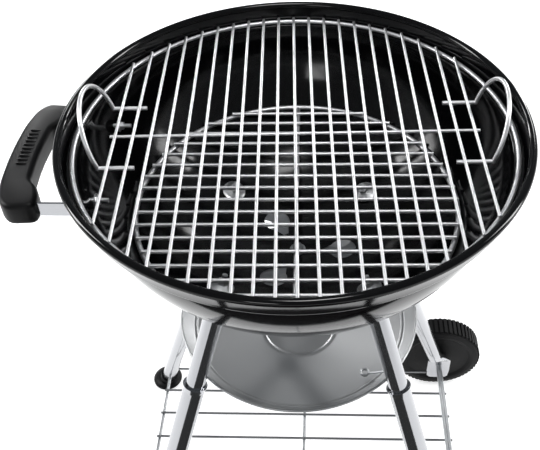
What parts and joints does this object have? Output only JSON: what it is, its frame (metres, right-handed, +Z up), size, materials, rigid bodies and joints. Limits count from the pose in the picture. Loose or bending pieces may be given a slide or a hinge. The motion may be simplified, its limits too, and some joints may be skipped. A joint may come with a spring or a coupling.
{
  "type": "kettle charcoal grill",
  "caption": "Kettle charcoal grill: round enamelled bowl with lift-out wire grates and a floor damper, on splayed tube legs with an ash pan, a wire rack, a side handle and wheels.",
  "frame": {"origin": "on the floor, under the middle of the grill's bounding box", "axes": "+Z up, -X towards the side handle, +X towards the wheels, -Y towards the front"},
  "size_m": [0.6084, 0.5642, 0.8342],
  "materials": {
    "black_enamel": "gloss black vitreous enamel",
    "bright_wire": "bright plated wire",
    "leg_chrome": "polished chrome",
    "zinc_steel": "zinc-plated steel",
    "damper_steel": "satin sheet steel",
    "pan_aluminium": "dull spun aluminium",
    "black_plastic": "matte black moulded nylon",
    "wheel_plastic": "matte black moulded plastic"
  },
  "bodies": {
    "stand_and_bowl": {"bowl": "black_enamel", "damper_bolt": "zinc_steel", "damper_washer": "zinc_steel", "damper_nut": "zinc_steel", "upper_leg_front_left": "leg_chrome", "upper_leg_front_right": "leg_chrome", "upper_leg_rear_left": "leg_chrome", "upper_leg_rear_right": "leg_chrome", "lower_leg_front_left": "leg_chrome", "lower_leg_front_right": "leg_chrome", "lower_leg_rear_left": "leg_chrome", "lower_leg_rear_right": "leg_chrome", "leg_plugs": "black_plastic", "leg_studs": "zinc_steel", "leg_washers": "zinc_steel", "leg_nuts": "zinc_steel", "foot_front_left": "black_plastic", "foot_rear_left": "black_plastic", "axle": "zinc_steel", "axle_washers": "zinc_steel", "hub_cap_front": "black_plastic", "hub_cap_rear": "black_plastic", "rack_rod_left": "zinc_steel", "rack_rod_centre": "zinc_steel", "rack_rod_right": "zinc_steel", "rack_cross_wires": "bright_wire", "rack_nuts": "zinc_steel", "pan_clip": "zinc_steel", "handle_grip": "black_plastic", "handle_strap": "leg_chrome", "handle_bolts": "zinc_steel", "handle_nuts": "zinc_steel"},
    "cooking_grate": {"cooking_ring": "bright_wire", "cooking_bars": "bright_wire", "cooking_cross_bar": "bright_wire", "grate_handle_left": "bright_wire", "grate_handle_right": "bright_wire"},
    "charcoal_grate": {"charcoal_ring": "bright_wire", "charcoal_bars": "bright_wire", "charcoal_spine": "bright_wire"},
    "damper": {"damper_disc": "damper_steel", "damper_lever": "damper_steel", "damper_rivets": "damper_steel"},
    "ash_pan": {"ash_pan": "pan_aluminium"},
    "wheel_front": {"wheel_front": "wheel_plastic"},
    "wheel_rear": {"wheel_rear": "wheel_plastic"}
  },
  "joints": [
    {"name": "cooking_grate_lift", "type": "slide", "parent": "stand_and_bowl", "child": "cooking_grate", "axis": [0, 0, 1], "range_m": [0, 0.25]},
    {"name": "charcoal_grate_lift", "type": "slide", "parent": "stand_and_bowl", "child": "charcoal_grate", "axis": [0, 0, 1], "range_m": [0, 0.08]},
    {"name": "damper_turn", "type": "hinge", "parent": "stand_and_bowl", "child": "damper", "pos_m": [-0.00923, 0, 0.61], "axis": [0, 0, 1], "range_deg": [-22, 38]},
    {"name": "ash_pan_drop", "type": "slide", "parent": "stand_and_bowl", "child": "ash_pan", "axis": [0, 0, -1], "range_m": [0, 0.12]},
    {"name": "wheel_front_spin", "type": "hinge", "parent": "stand_and_bowl", "child": "wheel_front", "pos_m": [0.22923, -0.25, 0.075], "axis": [0, 1, 0], "continuous": true},
    {"name": "wheel_rear_spin", "type": "hinge", "parent": "stand_and_bowl", "child": "wheel_rear", "pos_m": [0.22923, 0.25, 0.075], "axis": [0, 1, 0], "continuous": true}
  ]
}
